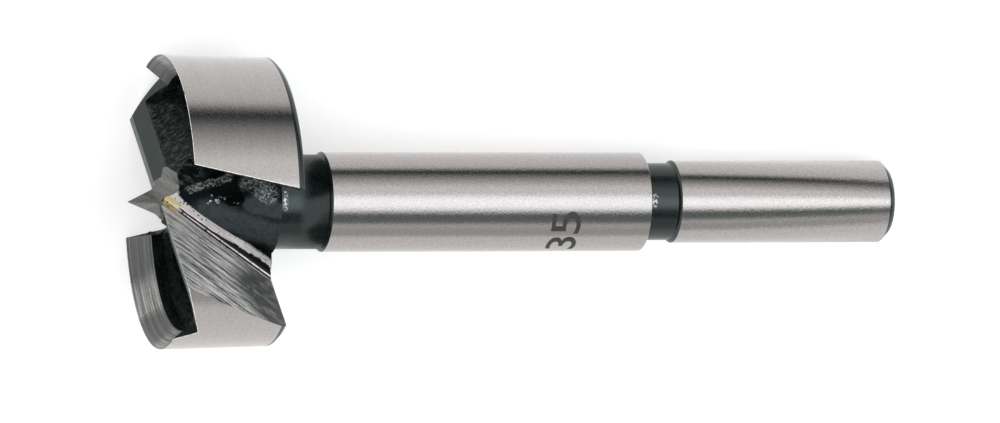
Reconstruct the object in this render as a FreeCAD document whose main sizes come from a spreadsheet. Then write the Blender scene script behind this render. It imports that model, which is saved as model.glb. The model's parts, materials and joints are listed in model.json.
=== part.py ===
"""Forstner bit, 35 mm, with a stepped round shank: one forged, turned and ground piece of steel.

The body is modelled along its own axis. X runs from the tip of the centre point to the end of the
shank, Y runs out along the first cutting lip, and Z points behind that lip, where its relief is
ground. Everything that the cutter has twice is made once and turned half round about X. At the end
the bit is laid down on z = 0, one chip pocket down, with +X from the head to the shank end.
Lengths are millimetres and angles are degrees.
"""
import math
import os

import FreeCAD, Part
import Sketcher

from FreeCAD import Placement, Rotation, Vector

doc = FreeCAD.newDocument("forstner_bit")

DRIVING_SIZES = {
    # overall
    "bore_diameter": 35.0,
    "total_length": 95.1,
    # shank, from the head outwards
    "neck_diameter": 11.3,
    "collar_start": 23.3,
    "collar_diameter": 12.0,
    "collar_end": 63.5,
    "relief_diameter": 9.35,
    "relief_end": 67.2,
    "shank_diameter": 10.0,
    "shoulder_bevel": 0.4,
    "end_chamfer": 0.9,
    # head
    "rim_front": 3.88,
    "rim_wall": 2.2,
    "rim_bevel_depth": 2.68,
    "head_rear": 17.3,
    "rear_band": 0.5,
    "rear_band_drop": 0.5,
    "head_taper": 0.3,
    "grinding_stock": 0.4,
    "hollow_depth": 5.6,
    "hollow_corner": 1.6,
    # lips
    "lip_front": 3.75,
    "lip_lead": 0.7,
    "rake_angle": 28.9,
    "relief_rise": 0.34,
    "lip_inner_end": 2.9,
    "land_width": 3.6,
    "lip_back_slope": 48.0,
    # notch between a lip and the rim that follows it
    "notch_behind": 7.4,
    "rim_start_behind": 8.95,
    # gash, ground by a narrow wheel
    "gash_skew": 21.5,
    "gash_start": 0.29,
    "gash_width": 1.9,
    "gash_corner": 0.7,
    # chip pocket
    "web_turn": 36.8,
    "web_half": 1.4,
    "pocket_roof": 4.25,
    "roof_fall": 0.218,
    "roof_rise": 0.1,
    # core that joins the two halves
    "core_start": 6.0,
    "core_front_radius": 2.0,
    "core_rear_radius": 6.3,
    # forging pit in one chip pocket
    "pit_start": 8.6,
    "pit_end": 13.2,
    "pit_lower": -0.5,
    "pit_upper": 2.8,
    "pit_floor": 2.7,
    # centre point
    "point_slope": 0.75,
    "point_base_radius": 2.45,
    "side_facet_slope": 0.153,
    "side_facet_turn": 18.4,
    "facet_straight": 3.25,
    "facet_foot": 5.7,
    "facet_foot_width": 2.3,
    "facet_hollow": 3.4,
    "facet_reach": 2.6,
    "facet_clearance": 0.05,
    "face_facet_slope": 0.272,
    "face_facet_turn": 43.2,
    "face_facet_straight": 3.12,
    "face_facet_foot_width": 1.61,
    "face_facet_hollow": 0.79,
}


def make_sheet(name, cells):
    """A spreadsheet with one named cell for each value."""
    sheet = doc.addObject("Spreadsheet::Sheet", name)
    for row, (alias, value) in enumerate(cells.items(), start=1):
        sheet.set(f"A{row}", alias)
        sheet.set(f"B{row}", str(value))
        sheet.setAlias(f"B{row}", alias)
    return sheet


sizes = make_sheet("Sizes", DRIVING_SIZES)
doc.recompute()

# corners of the forging pit, as shares of its length and of its height
PIT_CORNERS = [(0, 0.7), (0.25, 0.4), (0.6, 0), (0.9, 0), (1, 0.2), (1, 1), (0.35, 1)]

# sizes that follow from the driving ones, and reach past the steel so that a cut goes right through
layout = make_sheet("Layout", {
    "rim_radius": "=Sizes.bore_diameter / 2",
    "hollow_radius": "=Sizes.bore_diameter / 2 - Sizes.rim_wall",
    "stock_radius": "=Sizes.bore_diameter / 2 + Sizes.grinding_stock",
    "rear_radius": "=Sizes.bore_diameter / 2 - Sizes.head_taper",
    "rear_band_start": "=Sizes.head_rear - Sizes.rear_band",
    "hollow_floor": "=Sizes.rim_front + Sizes.hollow_depth",
    "bevel_foot": "=Sizes.rim_front + Sizes.rim_bevel_depth",
    "stock_front": "=Sizes.rim_front - Sizes.grinding_stock * Sizes.rim_bevel_depth / Sizes.rim_wall",
    "clear_radius": "=Sizes.bore_diameter",
    "clear_front": "=-Sizes.bore_diameter / 10",
    "back_rise": "=1 / tan(Sizes.lip_back_slope * 1 deg)",
    "land_back": "=Sizes.land_width - Sizes.lip_lead",
    "land_foot": "=Sizes.lip_front + Sizes.relief_rise * Sizes.land_width",
    "notch_front": "=Sizes.lip_front + Sizes.relief_rise * (Sizes.notch_behind + Sizes.lip_lead)",
    "facet_foot_front": "=Sizes.lip_front - Sizes.facet_clearance",
})
doc.recompute()

body = doc.addObject("PartDesign::Body", "ForstnerBit")
body.Label = "forstner_bit"


def origin_feature(role):
    """One of the body's own origin planes or axes."""
    for feature in body.Origin.OriginFeatures:
        if feature.Role == role:
            return feature
    raise RuntimeError(f"no {role} in the body")


def value_of(expression):
    """What an expression in the sheets' names comes to, as a plain number."""
    found = layout.evalExpression(expression)
    return float(getattr(found, "Value", found))


def place_on(item, support, turn_axis, turn, base):
    """Lay a sketch or plane on a support, turned about one of its axes and moved by three expressions."""
    item.AttachmentSupport = [(support, "")]
    item.MapMode = "FlatFace"
    if turn_axis is not None:
        item.AttachmentOffset = Placement(Vector(), Rotation(turn_axis, value_of(turn)))
        item.setExpression("AttachmentOffset.Rotation.Angle", turn)
    for axis, expression in zip("xyz", base or ()):
        item.setExpression(f"AttachmentOffset.Base.{axis}", expression)
    return item


def new_sketch(name, support, turn_axis=None, turn=None, base=None):
    """A sketch on one of the body's planes, given as an object or as the role of an origin plane."""
    if isinstance(support, str):
        support = origin_feature(support)
    return place_on(body.newObject("Sketcher::SketchObject", name), support, turn_axis, turn, base)


def new_plane(name, support, turn_axis, turn, base):
    """A reference plane that sketches are laid on."""
    plane = place_on(body.newObject("PartDesign::Plane", name), support, turn_axis, turn, base)
    doc.recompute()
    plane.Visibility = False
    return plane


def draw_outline(sketch, corners, bends=None):
    """A closed outline through corners given by expressions; bends makes a side an arc.

    bends maps the number of a side to its radius and to 1 where the arc's middle lies to the left
    of the way from corner to corner, or -1 where it lies to the right.
    """
    bends = bends or {}
    places = [Vector(value_of(across), value_of(up), 0) for across, up in corners]
    count = len(places)
    for side, start in enumerate(places):
        end = places[(side + 1) % count]
        if side in bends:
            radius, left = bends[side]
            sketch.addGeometry(arc_between(start, end, value_of(radius), left), False)
        else:
            sketch.addGeometry(Part.LineSegment(start, end), False)

    def end_points(side):
        """The point numbers of a side's start and end, which an arc drawn clockwise swaps."""
        clockwise = side in bends and bends[side][1] < 0
        return (2, 1) if clockwise else (1, 2)

    for side in range(count):
        following = (side + 1) % count
        sketch.addConstraint(Sketcher.Constraint(
            "Coincident", side, end_points(side)[1], following, end_points(following)[0]))
    for side, (across, up) in enumerate(corners):
        start = end_points(side)[0]
        for kind, expression in (("DistanceX", across), ("DistanceY", up)):
            value = value_of(expression)
            index = sketch.addConstraint(Sketcher.Constraint(kind, -1, 1, side, start, value))
            sketch.setExpression(f"Constraints[{index}]", expression)
    for side, (radius, _) in bends.items():
        index = sketch.addConstraint(Sketcher.Constraint("Radius", side, value_of(radius)))
        sketch.setExpression(f"Constraints[{index}]", radius)


def arc_between(start, end, radius, left):
    """The short arc of a radius between two points, with its middle left (1) or right (-1) of the way."""
    chord = end - start
    half = chord.Length / 2
    across = Vector(-chord.y, chord.x, 0).normalize()
    middle = (start + end) * 0.5 + across * left * math.sqrt(max(radius ** 2 - half ** 2, 0.0))
    circle = Part.Circle(middle, Vector(0, 0, 1), radius)
    first, last = (start, end) if left > 0 else (end, start)
    angles = [math.atan2(point.y - middle.y, point.x - middle.x) for point in (first, last)]
    if angles[1] < angles[0]:
        angles[1] += 2 * math.pi
    return Part.ArcOfCircle(circle, *angles)


def finish_feature(feature, sketch, cuts):
    """Recompute a feature and see that it really added or removed steel."""
    before = finish_feature.volume
    doc.recompute()
    sketch.Visibility = False
    after = body.Shape.Volume
    changed = before - after if cuts else after - before
    if changed <= 0:
        raise RuntimeError(f"{feature.Name} changed nothing: {before:.2f} to {after:.2f}")
    print(f"{feature.Name:24s} {before:10.2f} -> {after:10.2f} mm3")
    finish_feature.volume = after
    return feature


finish_feature.volume = 0.0


def turned(name, sketch, cuts=False):
    """Steel added, or cut away, all round the axis."""
    feature = body.newObject("PartDesign::Groove" if cuts else "PartDesign::Revolution", name)
    feature.Profile = sketch
    feature.ReferenceAxis = (origin_feature("X_Axis"), [""])
    feature.Angle = 360
    return finish_feature(feature, sketch, cuts)


def both_sides(feature, cuts):
    """The same feature on the opposite side of the axis."""
    pattern = body.newObject("PartDesign::PolarPattern", f"{feature.Name}Twice")
    pattern.Originals = [feature]
    pattern.Axis = (origin_feature("X_Axis"), [""])
    pattern.Angle = 360
    pattern.Occurrences = 2
    body.Tip = pattern
    return finish_feature(pattern, feature, cuts)


# turned forging: shank, relief groove, collar, neck and the head with its hollow face
blank_sketch = new_sketch("BlankSketch", "XZ_Plane")
draw_outline(blank_sketch, [
    ("Layout.hollow_floor", "0"),
    ("Layout.hollow_floor", "Layout.hollow_radius - Sizes.hollow_corner"),
    ("Layout.hollow_floor - Sizes.hollow_corner", "Layout.hollow_radius"),
    ("Layout.bevel_foot", "Layout.hollow_radius"),
    ("Layout.stock_front", "Layout.stock_radius"),
    ("Layout.rear_band_start - Sizes.grinding_stock", "Layout.stock_radius"),
    ("Layout.rear_band_start", "Layout.rear_radius"),
    ("Sizes.head_rear", "Layout.rear_radius - Sizes.rear_band_drop"),
    ("Sizes.head_rear", "Sizes.neck_diameter / 2"),
    ("Sizes.collar_start", "Sizes.neck_diameter / 2"),
    ("Sizes.collar_start + Sizes.shoulder_bevel", "Sizes.collar_diameter / 2"),
    ("Sizes.collar_end", "Sizes.collar_diameter / 2"),
    ("Sizes.collar_end", "Sizes.relief_diameter / 2"),
    ("Sizes.relief_end", "Sizes.relief_diameter / 2"),
    ("Sizes.relief_end + Sizes.shoulder_bevel", "Sizes.shank_diameter / 2"),
    ("Sizes.total_length - Sizes.end_chamfer", "Sizes.shank_diameter / 2"),
    ("Sizes.total_length", "Sizes.shank_diameter / 2 - Sizes.end_chamfer"),
    ("Sizes.total_length", "0"),
], bends={1: ("Sizes.hollow_corner", -1)})
turned("Blank", blank_sketch)

# forged bar under each lip, across the hollow face from the web to the rim
bar_sketch = new_sketch("LipBarSketch", "XZ_Plane", base=("0", "0", "Sizes.web_half * 2"))
draw_outline(bar_sketch, [
    ("Sizes.lip_front", "-Sizes.lip_lead - Sizes.gash_width"),
    ("Layout.hollow_floor + Sizes.hollow_corner", "-Sizes.lip_lead - Sizes.gash_width"),
    ("Layout.hollow_floor + Sizes.hollow_corner",
     "Layout.land_back + (Layout.hollow_floor + Sizes.hollow_corner - Layout.land_foot) * Layout.back_rise"),
    ("Sizes.lip_front", "Layout.land_back - (Layout.land_foot - Sizes.lip_front) * Layout.back_rise"),
])
lip_bar = body.newObject("PartDesign::Pad", "LipBar")
lip_bar.Profile = bar_sketch
lip_bar.Reversed = True
lip_bar.setExpression("Length", "Layout.rim_radius + Sizes.web_half * 2")
finish_feature(lip_bar, bar_sketch, cuts=False)
both_sides(lip_bar, cuts=False)


# chip pocket: a forged opening in front of each lip, out through the back of the head
def pocket_section(name, depth):
    """One end of the wedge-shaped pocket, in a plane along the axis at a depth from it."""
    turn = "180 - Sizes.web_turn"
    sketch = new_sketch(name, "XZ_Plane", Vector(1, 0, 0), turn, (
        "0",
        f"-({depth}) * sin(({turn}) * 1 deg)",
        f"({depth}) * cos(({turn}) * 1 deg)",
    ))
    front = "(Sizes.lip_front - Sizes.grinding_stock * 2)"
    rear = "(Sizes.head_rear + Sizes.gash_width)"
    roof = ("Sizes.pocket_roof - Sizes.roof_fall * ({0} - Sizes.rim_front)"
            f" + Sizes.roof_rise * (Layout.rim_radius - ({depth}))")
    # the floor keeps the thickness of the grinding wheel above the rake plane
    floor = (
        "((Sizes.gash_width + Sizes.lip_lead * cos(Sizes.rake_angle * 1 deg)"
        " - ({0} - Sizes.lip_front) * sin(Sizes.rake_angle * 1 deg)) / cos(Sizes.rake_angle * 1 deg)"
        f" - ({depth}) * sin(Sizes.web_turn * 1 deg)) / cos(Sizes.web_turn * 1 deg)"
    )
    draw_outline(sketch, [
        (front, floor.format(front)),
        (rear, floor.format(rear)),
        (rear, roof.format(rear)),
        (front, roof.format(front)),
    ])
    return sketch


pocket_inner = pocket_section("PocketInnerSketch", "Sizes.web_half")
pocket_outer = pocket_section("PocketOuterSketch", "Layout.stock_radius + Sizes.web_half")
chip_pocket = body.newObject("PartDesign::SubtractiveLoft", "ChipPocket")
chip_pocket.Profile = pocket_inner
chip_pocket.Sections = [pocket_outer]
chip_pocket.Ruled = True
pocket_outer.Visibility = False
finish_feature(chip_pocket, pocket_inner, cuts=True)
both_sides(chip_pocket, cuts=True)

# core and centre point, round, before the facets are ground
core_sketch = new_sketch("CoreSketch", "XZ_Plane")
draw_outline(core_sketch, [
    ("0", "0"),
    ("Sizes.collar_start", "0"),
    ("Sizes.collar_start", "Sizes.neck_diameter / 2"),
    ("Sizes.head_rear", "Sizes.neck_diameter / 2"),
    ("Sizes.head_rear", "Sizes.core_rear_radius"),
    ("Sizes.core_start", "Sizes.core_front_radius"),
    ("Sizes.point_base_radius / Sizes.point_slope", "Sizes.point_base_radius"),
])
turned("CoreAndPoint", core_sketch)

# outside of the head, ground with a little back taper
outside_sketch = new_sketch("OutsideSketch", "XZ_Plane")
outside_rise = ("(Layout.rim_radius - Layout.rear_radius) / (Layout.rear_band_start - Sizes.rim_front)")
draw_outline(outside_sketch, [
    ("0", f"Layout.rim_radius + Sizes.rim_front * {outside_rise}"),
    ("Sizes.head_rear",
     f"Layout.rear_radius - (Sizes.head_rear - Layout.rear_band_start) * {outside_rise}"),
    ("Sizes.head_rear", "Layout.clear_radius"),
    ("0", "Layout.clear_radius"),
])
turned("OutsideGrinding", outside_sketch, cuts=True)

# gash: the rake face of a lip and the narrow wall beside it, with the wheel's radius between them
rake_plane = new_plane("RakePlane", origin_feature("XY_Plane"), Vector(0, 1, 0), "-Sizes.rake_angle",
                       ("Sizes.lip_front", "0", "-Sizes.lip_lead"))
gash_line = new_plane("GashLine", rake_plane, Vector(0, 0, 1), "Sizes.gash_skew",
                      ("Sizes.gash_start", "0", "0"))
gash_sketch = new_sketch("GashSketch", gash_line, Vector(0, 1, 0), "90")
draw_outline(gash_sketch, [
    ("Sizes.gash_corner", "0"),
    ("Sizes.gash_width", "0"),
    ("Sizes.gash_width", "Layout.clear_radius"),
    ("0", "Layout.clear_radius"),
    ("0", "Sizes.gash_corner"),
], bends={4: ("Sizes.gash_corner", 1)})
gash = body.newObject("PartDesign::Pocket", "Gash")
gash.Profile = gash_sketch
gash.Midplane = True
gash.setExpression("Length", "Layout.clear_radius * 2")
finish_feature(gash, gash_sketch, cuts=True)
both_sides(gash, cuts=True)

# forging pit: a ragged hollow that one chip pocket carries beside the core
pit_sketch = new_sketch("ForgingPitSketch", "XZ_Plane", Vector(1, 0, 0), "180 - Sizes.web_turn", (
    "0",
    "-Sizes.pit_floor * sin((180 - Sizes.web_turn) * 1 deg)",
    "Sizes.pit_floor * cos((180 - Sizes.web_turn) * 1 deg)",
))
draw_outline(pit_sketch, [
    (f"Sizes.pit_start + {length} * (Sizes.pit_end - Sizes.pit_start)",
     f"Sizes.pit_lower + {height} * (Sizes.pit_upper - Sizes.pit_lower)")
    for length, height in PIT_CORNERS
])
forging_pit = body.newObject("PartDesign::Pocket", "ForgingPit")
forging_pit.Profile = pit_sketch
forging_pit.Reversed = True
forging_pit.setExpression("Length", "Sizes.pit_floor")
finish_feature(forging_pit, pit_sketch, cuts=True)

# flank: the ground relief behind a lip, out to the notch and the start of the rim
flank_sketch = new_sketch("FlankSketch", "XZ_Plane", base=("0", "0", "-Sizes.lip_inner_end"))
notch_rise = "(Sizes.rim_start_behind - Sizes.notch_behind) / (Layout.notch_front - Sizes.rim_front)"
draw_outline(flank_sketch, [
    ("Sizes.lip_front - Sizes.relief_rise * Sizes.gash_width", "-Sizes.lip_lead - Sizes.gash_width"),
    ("Layout.notch_front", "Sizes.notch_behind"),
    ("0", f"Sizes.notch_behind + Layout.notch_front * {notch_rise}"),
    ("Layout.clear_front", f"Sizes.notch_behind + Layout.notch_front * {notch_rise}"),
    ("Layout.clear_front", "-Sizes.lip_lead - Sizes.gash_width"),
])
flank = body.newObject("PartDesign::Pocket", "Flank")
flank.Profile = flank_sketch
flank.Type = 1
finish_feature(flank, flank_sketch, cuts=True)
both_sides(flank, cuts=True)

# side facet of the centre point: straight from the tip, then hollow out to the back of the lip
side_sketch = new_sketch("SideFacetSketch", "XZ_Plane", Vector(0, 1, 0), "-Sizes.side_facet_turn", (
    "Sizes.facet_reach * tan(Sizes.side_facet_turn * 1 deg)",
    "0",
    "-Sizes.facet_reach",
))
draw_outline(side_sketch, [
    ("0", "0"),
    ("Sizes.facet_straight", "-Sizes.side_facet_slope * Sizes.facet_straight"),
    ("Sizes.facet_foot", "-Sizes.facet_foot_width"),
    ("Sizes.facet_foot", "-Sizes.facet_foot_width * 2"),
    ("Layout.clear_front", "-Sizes.facet_foot_width * 2"),
    ("Layout.clear_front", "0"),
], bends={1: ("Sizes.facet_hollow", -1)})
side_facet = body.newObject("PartDesign::Pocket", "SideFacet")
side_facet.Profile = side_sketch
side_facet.Type = 1
side_facet.Reversed = True
finish_feature(side_facet, side_sketch, cuts=True)
both_sides(side_facet, cuts=True)

# face facet of the centre point, over the gash
face_sketch = new_sketch("FaceFacetSketch", "XZ_Plane", Vector(1, 0, 0), "-90 - Sizes.face_facet_turn")
draw_outline(face_sketch, [
    ("0", "0"),
    ("Sizes.face_facet_straight", "Sizes.face_facet_slope * Sizes.face_facet_straight"),
    ("Layout.facet_foot_front", "Sizes.face_facet_foot_width"),
    ("Layout.facet_foot_front", "Sizes.face_facet_foot_width * 2"),
    ("Layout.clear_front", "Sizes.face_facet_foot_width * 2"),
    ("Layout.clear_front", "0"),
], bends={1: ("Sizes.face_facet_hollow", 1)})
face_facet = body.newObject("PartDesign::Pocket", "FaceFacet")
face_facet.Profile = face_sketch
face_facet.Midplane = True
face_facet.setExpression("Length", "Sizes.facet_foot_width * 3")
finish_feature(face_facet, face_sketch, cuts=True)
both_sides(face_facet, cuts=True)


# steps that close in on the roll at which the bit comes to rest
ROLL_STEPS = 60


def across_axis(turn):
    """The direction at right angles to the axis that is turned from the first lip by an angle."""
    return Vector(0, math.cos(math.radians(turn)), math.sin(math.radians(turn)))


def fall_at(roll):
    """How steeply the axis falls to the shank's end when the bit lies down, rolled by an angle."""
    downward = across_axis(roll)
    return max((point.dot(downward) - ring_radius) / (ring_x - point.x) for point in head_points)


# lay the bit down, first lip up: it rocks on the edge of its shank until the axis falls least, which is
# where a chip pocket is underneath and the head stands on one corner to each side of it
ring_x = value_of("Sizes.total_length - Sizes.end_chamfer")
ring_radius = value_of("Sizes.shank_diameter / 2")
head_points = [point for edge in body.Shape.Edges for point in edge.discretize(Deflection=0.01)
               if point.x < value_of("Sizes.collar_start")]
resting_roll = min(range(90, 271), key=fall_at)
low, high = resting_roll - 1, resting_roll + 1
for _ in range(ROLL_STEPS):
    third = (high - low) / 3
    if fall_at(low + third) < fall_at(high - third):
        high -= third
    else:
        low += third
fall = math.atan(fall_at(low))
down = across_axis(low) * math.cos(fall) + Vector(math.sin(fall), 0, 0)
lengthwise = Vector(1, 0, 0)
lengthwise = (lengthwise - down * lengthwise.dot(down)).normalize()
turn = Rotation(lengthwise, Vector(), down * -1, "ZXY").inverted()
laid = Placement(Vector(), turn)
bounds = body.Shape.transformed(laid.toMatrix()).optimalBoundingBox(False, False)
laid.Base = Vector(-(bounds.XMin + bounds.XMax) / 2, -(bounds.YMin + bounds.YMax) / 2, -bounds.ZMin)
body.Placement = laid
doc.recompute()

for item in doc.Objects:
    if any(word in state for state in item.State for word in ("Invalid", "Error")):
        raise RuntimeError(f"{item.Name} failed: {item.State}")
if body.Shape.isNull() or not body.Shape.isValid() or len(body.Shape.Solids) != 1:
    raise RuntimeError("the bit is not one sound solid")

os.makedirs("parts", exist_ok=True)
body.Shape.exportStep(f"parts/{body.Label}.step")
print("axis tilt", round(math.degrees(fall), 3), "roll", round(low, 3), "down", down)
print("placement", [round(value, 9) for value in laid.toMatrix().A])
print("bounds", body.Shape.optimalBoundingBox(False, False))
print("solids", len(body.Shape.Solids), "volume", round(body.Shape.Volume, 1), "faces", len(body.Shape.Faces))
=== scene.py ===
"""A forstner bit on a pale floor: ground steel over black forge oxide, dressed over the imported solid."""

import json
import math

import bmesh
import bpy
from mathutils import Matrix, Vector, noise
from mathutils.kdtree import KDTree


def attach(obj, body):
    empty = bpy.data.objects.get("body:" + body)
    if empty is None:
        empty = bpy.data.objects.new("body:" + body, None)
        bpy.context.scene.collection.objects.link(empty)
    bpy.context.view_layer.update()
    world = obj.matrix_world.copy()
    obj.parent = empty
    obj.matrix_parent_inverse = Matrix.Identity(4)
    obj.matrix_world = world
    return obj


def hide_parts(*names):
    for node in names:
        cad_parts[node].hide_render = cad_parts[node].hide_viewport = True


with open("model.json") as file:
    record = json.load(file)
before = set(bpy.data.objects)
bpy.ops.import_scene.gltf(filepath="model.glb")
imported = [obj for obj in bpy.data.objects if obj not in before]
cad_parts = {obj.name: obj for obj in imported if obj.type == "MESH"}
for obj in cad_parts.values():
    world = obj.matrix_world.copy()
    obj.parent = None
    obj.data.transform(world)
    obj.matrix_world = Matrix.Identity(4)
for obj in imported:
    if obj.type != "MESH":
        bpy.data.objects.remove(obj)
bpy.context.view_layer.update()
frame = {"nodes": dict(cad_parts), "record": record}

# the bit's own frame, in millimetres: X from the point to the shank's end, +Y along the first lip
MM = 0.001
MOUNT_FROM_TIP = 80.9
LIP_ROLL = math.radians(-14.826)
shank_mount = frame["record"]["mounts"][0]
along = Vector(shank_mount["axis"]).normalized()
side = Vector((0, 1, 0))
over = along.cross(side)
lip = over * math.cos(LIP_ROLL) + side * math.sin(LIP_ROLL)
behind = along.cross(lip)
tip = Vector(shank_mount["pos_m"]) - along * MOUNT_FROM_TIP * MM
bit_turn = Matrix((along, lip, behind)).transposed().to_4x4()
bit_to_row = Matrix.Translation(tip) @ bit_turn @ Matrix.Scale(MM, 4)

# the photograph's own directions: its viewer stands on the first lip's side of the bit
VIEWER_ROLL = math.radians(36.8)
to_viewer = lip * math.cos(VIEWER_ROLL) - behind * math.sin(VIEWER_ROLL)
picture_up = -lip * math.sin(VIEWER_ROLL) - behind * math.cos(VIEWER_ROLL)

# the neck, collar, groove and shank
NECK_CUT = 18.2
NECK_RADIUS = 5.65
NECK_JOIN = 0.6
COLLAR_START = 23.3
COLLAR_END = 63.5
COLLAR_RADIUS = 6.0
COLLAR_ROUND = 0.12
GROOVE_END = 67.2
GROOVE_RADIUS = 4.675
GROOVE_CORNER = 0.25
SHANK_RADIUS = 5.0
SHANK_END = 95.1
END_CHAMFER = 0.9
END_ROUND = 0.08
SHOULDER_LENGTH = 0.42
SHOULDER_RISE = 0.33
SHOULDER_FOOT = 0.01
LATHE_SIDES = 144

# the head: its rim, hollow, bevel and black rear band
RIM_FRONT = 3.88
RIM_RADIUS = 17.5
HOLLOW_RADIUS = 15.3
REAR_RADIUS = 17.2
HEAD_REAR = 17.3
BEVEL_FOOT = 6.56
NOTCH_BEHIND = 7.4
REAR_BAND = 16.8
BLACK_BAND = 16.5
POINT_RADIUS = 4.6
POINT_END = 6.1

# the planes that the wheels ground into the first half
RAKE_NORMAL = Vector((0.4833, 0, -0.8754))
RAKE_OFFSET = 2.426
GASH_LINE = Vector((0.8146, 0.3665, 0.4497)).normalized()
GASH_POINT = Vector((4.004, 0, -0.56))
GASH_CORNER = 0.7
STRIP_NORMAL = Vector((-0.3209, 0.9304, -0.1771)).normalized()
FLANK_NORMAL = Vector((-0.9468, 0, 0.3219))
FLANK_START = 3.75
FLANK_SLOPE = 0.34
FLANK_BACK = 0.7

# how closely a face has to lie on its finish's plane or round: facings, then millimetres
SAME_FACING = 0.998
ROUND_FACING = 0.97
BEVEL_FACING = 0.08
ACROSS_GASH = 0.03
NEAR_RAKE = 0.05
NEAR_PLANE = 0.03
NEAR_AXIS = 1e-6
REAR_MARGIN = 0.02
WALL_MARGIN = 1
HOLLOW_MARGIN = 0.4
GASH_MARGIN = 0.1

# angles that part flat faces, ground edges and creases, and the width of one strip of a round
FLAT_TURN = math.radians(0.15)
EDGE_TURN = math.radians(24)
CREASE_TURN = math.radians(35)
ROUND_STEP = 3

# the broken edges, and the relief of the forged skin
EDGE_WIDTH = 0.12
FORGED_GRID = 0.45
FORGED_FADE = 0.55
LUMP_SCALE = 0.75
LUMP_HEIGHT = 0.2
COBBLE_SCALE = 2.3
COBBLE_HEIGHT = 0.14
COBBLE_SHIFT = Vector((7, 3, 5))
ROUGHER_FROM = 11
ROUGHER_OVER = 3
CALM_RADIUS = 8
CALM_REACH = 3.0
CALM_SHARE = 0.85

FINISHES = [
    "wall", "bevel", "inner_wall", "rake", "strip", "gash", "flank", "point", "forged", "turned_black",
    "collar", "edge", "dull_edge",
]
FINISH_NUMBER = {name: number for number, name in enumerate(FINISHES)}
FLAT_FINISHES = {"rake", "strip", "flank", "point"}
ROUGH_FINISHES = {"forged", "inner_wall"}
GROUND_FINISHES = {"wall", "rake", "strip"}

# pairs of finishes that meet in an edge too soft to be broken and given the painted highlight
SOFT_EDGES = [
    {"wall", "rake"}, {"wall", "turned_black"}, {"rake", "gash"}, {"strip", "gash"},
    {"rake", "turned_black"},
]


def taper(start, start_radius, end, end_radius):
    """A cone's radius at any place along the bit, from its radius at two places."""
    return lambda x: start_radius - (start_radius - end_radius) * (x - start) / (end - start)


# the true rounds of the head, and how far each one's normal leans along the bit and outwards
ROUND_RADIUS = {
    "wall": taper(RIM_FRONT, RIM_RADIUS, REAR_BAND, REAR_RADIUS),
    "bevel": taper(RIM_FRONT, RIM_RADIUS, BEVEL_FOOT, HOLLOW_RADIUS),
    "inner_wall": lambda x: HOLLOW_RADIUS,
}
ROUND_NORMAL = {"wall": (0.0232, 1.0), "bevel": (-0.6345, -0.773)}


def half_turned(vector):
    """The same place or direction on the other half of the bit."""
    return Vector((vector.x, -vector.y, -vector.z))


def radius_of(point):
    """How far a place is from the bit's axis."""
    return math.hypot(point.y, point.z)


def behind_lip(point):
    """How far a place is behind the lip of its own half."""
    return point.z if point.y > 0 else -point.z


def on_bevel(centre, normal, outward):
    """Whether a face of the head lies on the bevel inside the rim."""
    lengthwise, inward = ROUND_NORMAL["bevel"]
    leans_alike = abs(normal.x - lengthwise) < BEVEL_FACING and abs(outward - inward) < BEVEL_FACING
    return leans_alike and centre.x < BEVEL_FOOT


def ground_flat(place, facing):
    """The name of the flat that a face of the first half was ground to, or None."""
    if facing.dot(RAKE_NORMAL) > SAME_FACING and abs(place.dot(RAKE_NORMAL) - RAKE_OFFSET) < NEAR_RAKE:
        return "rake"
    from_gash = place - GASH_POINT
    if facing.dot(STRIP_NORMAL) > SAME_FACING and abs(from_gash.dot(STRIP_NORMAL)) < NEAR_PLANE:
        return "strip"
    in_corner = from_gash.cross(GASH_LINE).length < GASH_CORNER + GASH_MARGIN
    if in_corner and abs(facing.dot(GASH_LINE)) < ACROSS_GASH:
        return "gash"
    off_flank = place.x - FLANK_START - FLANK_SLOPE * (place.z + FLANK_BACK)
    if facing.dot(FLANK_NORMAL) > SAME_FACING and abs(off_flank) < NEAR_PLANE:
        return "flank"
    return None


def finish_of(centre, normal):
    """The name of the finish that a face of the head has."""
    radius = max(radius_of(centre), NEAR_AXIS)
    outward = (normal.y * centre.y + normal.z * centre.z) / radius
    if centre.x > REAR_BAND + REAR_MARGIN:
        return "turned_black"
    if outward > ROUND_FACING and radius > HOLLOW_RADIUS + WALL_MARGIN:
        return "wall"
    if on_bevel(centre, normal, outward):
        return "forged" if 0 < behind_lip(centre) < NOTCH_BEHIND else "bevel"
    if outward < -ROUND_FACING and radius > HOLLOW_RADIUS - HOLLOW_MARGIN:
        return "inner_wall"
    flat = ground_flat(centre, normal) or ground_flat(half_turned(centre), half_turned(normal))
    if flat:
        return flat
    return "point" if radius < POINT_RADIUS and centre.x < POINT_END else "forged"


def faces_of(bm, *names):
    """The faces that have these finishes."""
    numbers = {FINISH_NUMBER[name] for name in names}
    return [face for face in bm.faces if face.material_index in numbers]


def whole(bm):
    """Every vertex, edge and face."""
    return list(bm.verts) + list(bm.edges) + list(bm.faces)


def cut_by_plane(bm, faces, point, normal):
    """Cuts these faces along a plane and leaves both sides."""
    parts = set(faces)
    for face in faces:
        parts.update(face.edges)
        parts.update(face.verts)
    bmesh.ops.bisect_plane(bm, geom=list(parts), plane_co=point, plane_no=normal, dist=1e-4)


def round_out(bm, name):
    """Turns the flat strips of a round face into narrow ones that lie on the true radius."""
    for step in range(180 // ROUND_STEP):
        turn = math.radians((step + 0.5) * ROUND_STEP)
        cut_by_plane(bm, faces_of(bm, name), Vector(), Vector((0, math.sin(turn), -math.cos(turn))))
    for vert in {vert for face in faces_of(bm, name) for vert in face.verts}:
        scale = ROUND_RADIUS[name](vert.co.x) / max(radius_of(vert.co), NEAR_AXIS)
        vert.co.y *= scale
        vert.co.z *= scale


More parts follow.
